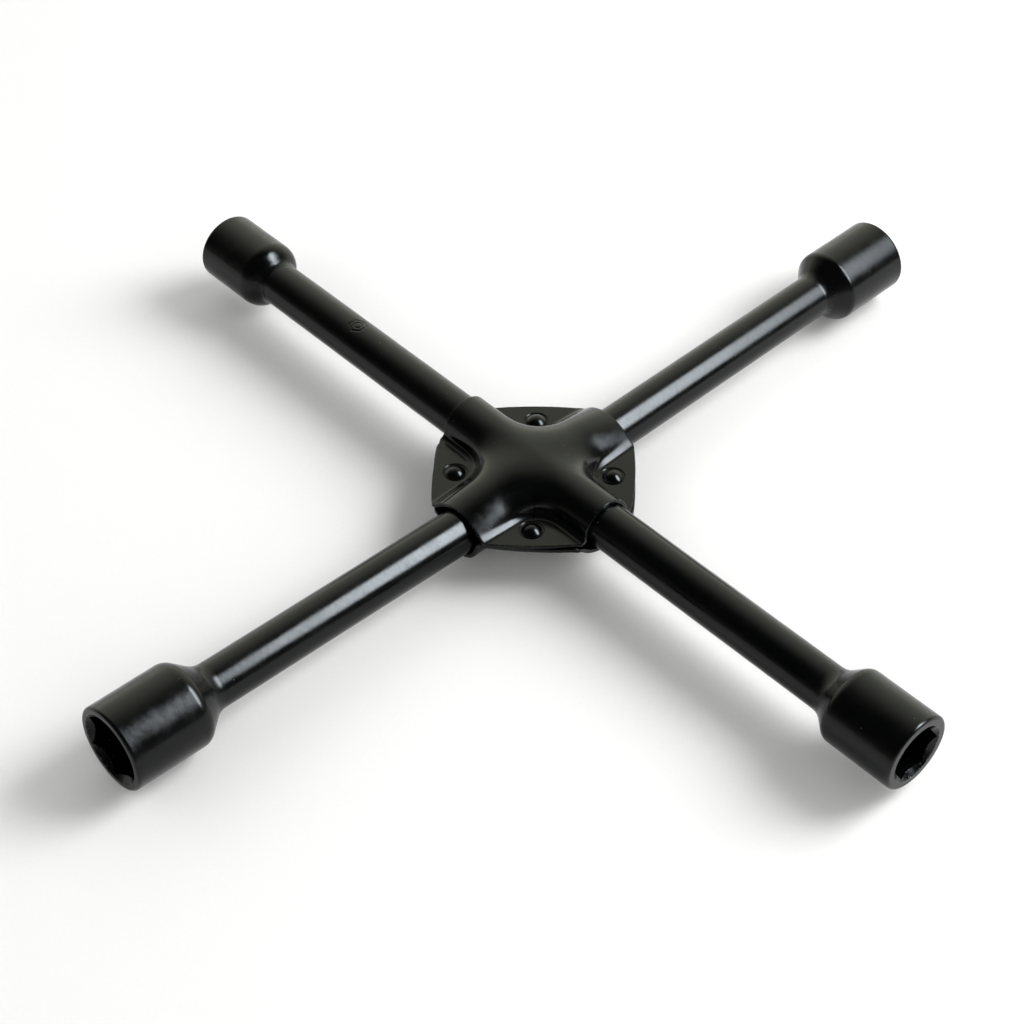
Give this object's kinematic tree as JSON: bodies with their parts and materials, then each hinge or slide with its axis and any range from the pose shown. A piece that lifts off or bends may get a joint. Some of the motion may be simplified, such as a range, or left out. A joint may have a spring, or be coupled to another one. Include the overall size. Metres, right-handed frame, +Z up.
{
  "type": "wheel wrench",
  "caption": "Cross-shaped wheel wrench with a different hexagon socket on each arm and riveted hub plates round the crossing.",
  "frame": {"origin": "on the ground, under the middle of the crossing", "axes": "+X along the upper bar towards the 19 mm socket, +Y along the lower bar towards the 21 mm socket, +Z up"},
  "size_m": [0.3772, 0.3966, 0.0343],
  "materials": {
    "bar_enamel": "glossy black enamel on drawn steel bar",
    "socket_enamel": "glossy black enamel on forged steel",
    "weld_enamel": "black enamel over a smoothed ring weld",
    "plate_enamel": "black enamel on pressed steel sheet",
    "rivet_enamel": "glossy black enamel on steel rivets",
    "weld_metal": "bare weld bead, hidden under the plates"
  },
  "bodies": {
    "root": {"upper_bar": "bar_enamel", "lower_bar": "bar_enamel", "socket_17": "socket_enamel", "socket_19": "socket_enamel", "socket_21": "socket_enamel", "socket_23": "socket_enamel", "neck_weld_17": "weld_enamel", "neck_weld_19": "weld_enamel", "neck_weld_21": "weld_enamel", "neck_weld_23": "weld_enamel", "top_plate": "plate_enamel", "bottom_plate": "plate_enamel", "rivet_1": "rivet_enamel", "rivet_2": "rivet_enamel", "rivet_3": "rivet_enamel", "rivet_4": "rivet_enamel", "crossing_weld_1": "weld_metal", "crossing_weld_2": "weld_metal"}
  },
  "joints": []
}
